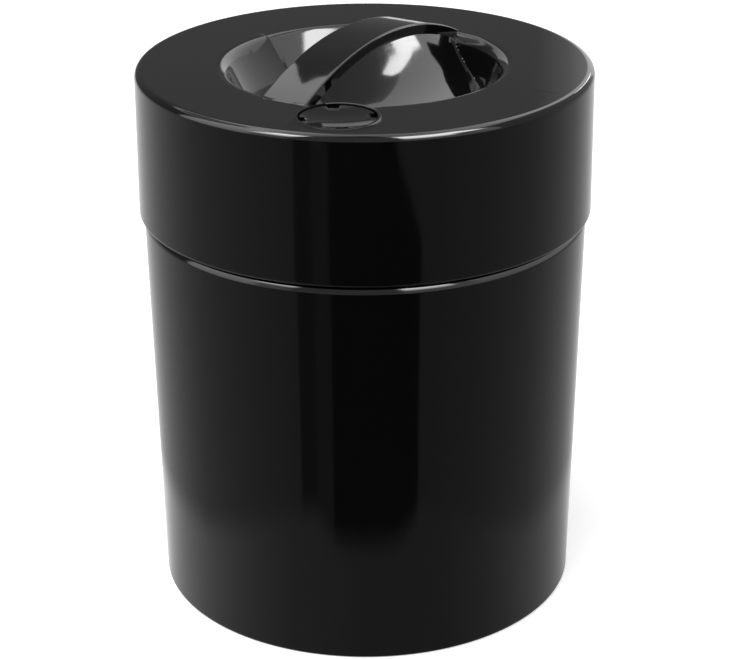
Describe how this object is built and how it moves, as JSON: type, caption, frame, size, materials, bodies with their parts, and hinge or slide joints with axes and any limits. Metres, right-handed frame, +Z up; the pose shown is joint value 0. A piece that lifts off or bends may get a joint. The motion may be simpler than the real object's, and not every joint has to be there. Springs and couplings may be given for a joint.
{
  "type": "coffee canister with valve",
  "caption": "Round airtight coffee canister with a deep lift-off lid, an arched bar handle between two finger hollows, and a sprung push-button air valve.",
  "frame": {"origin": "middle of the foot ring, on the plane that the canister stands on", "axes": "+Z up along the canister's axis; the valve button is on the -Y side, which faces the viewer"},
  "size_m": [0.1366, 0.1366, 0.1754],
  "materials": {
    "body_plastic": "gloss black, moulded",
    "lid_plastic": "gloss black, moulded",
    "button_plastic": "gloss black, moulded",
    "guard_plastic": "fine matt",
    "seal_rubber": "soft matt silicone",
    "spring_steel": "drawn wire",
    "clip_steel": "stamped"
  },
  "bodies": {
    "container": {"canister_body": "body_plastic", "neck_seal": "seal_rubber"},
    "lid": {"cap_shell": "lid_plastic", "valve_guard": "guard_plastic", "button_spring": "spring_steel"},
    "button": {"valve_button": "button_plastic", "valve_seal": "seal_rubber", "seal_clip": "clip_steel"}
  },
  "joints": [
    {"name": "lid_lift", "type": "slide", "parent": "container", "child": "lid", "axis": [0, 0, 1], "range_m": [0, 0.06]},
    {"name": "button_press", "type": "slide", "parent": "lid", "child": "button", "axis": [0, 0, -1], "range_m": [0, 0.0026], "stiffness_N_per_m": 300, "springref_m": -0.004, "deforming": ["button_spring"]}
  ]
}
